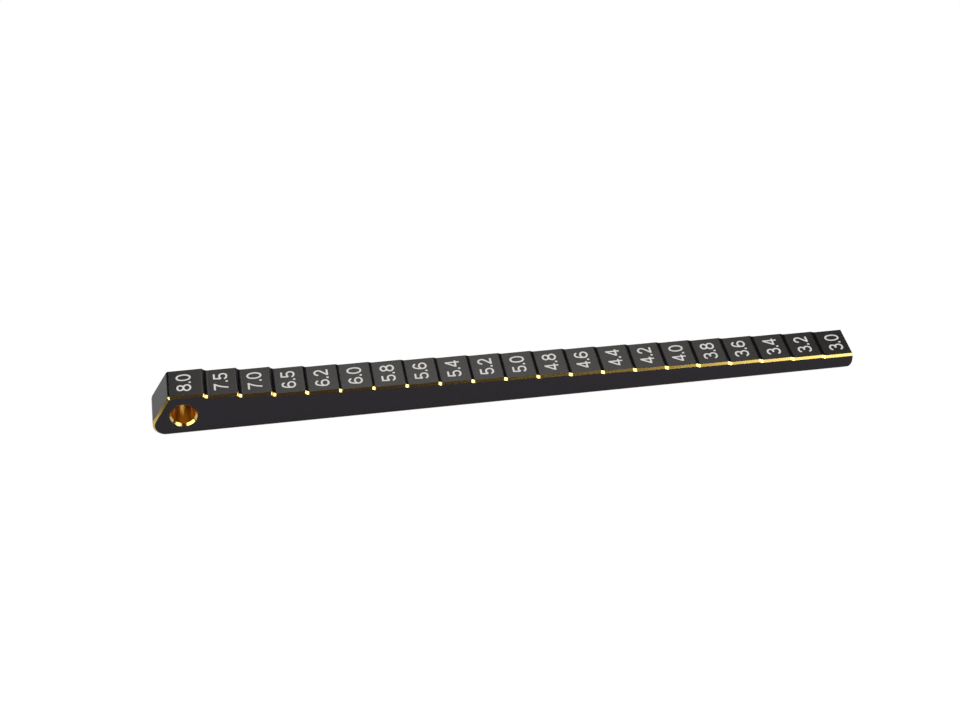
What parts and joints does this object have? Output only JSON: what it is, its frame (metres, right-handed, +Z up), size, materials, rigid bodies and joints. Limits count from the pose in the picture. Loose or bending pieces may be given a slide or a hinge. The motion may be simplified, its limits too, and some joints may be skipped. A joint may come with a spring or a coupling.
{
  "type": "ride height gauge",
  "caption": "Long thin stepped bar for reading the ground clearance of a model car, with flat marked treads that fall from a raked thick end to a thin end.",
  "frame": {"origin": "centre of the bar's bounding box, on the plane of its flat underside", "axes": "+X along the bar from its thick end to its thin end, +Y across it, +Z up from the underside to the treads"},
  "size_m": [0.1228, 0.0076, 0.008],
  "materials": {
    "black_anodising": "satin black anodised aluminium, with gold anodised chamfers and bore"
  },
  "bodies": {
    "root": {"gauge_bar": "black_anodising"}
  },
  "joints": []
}
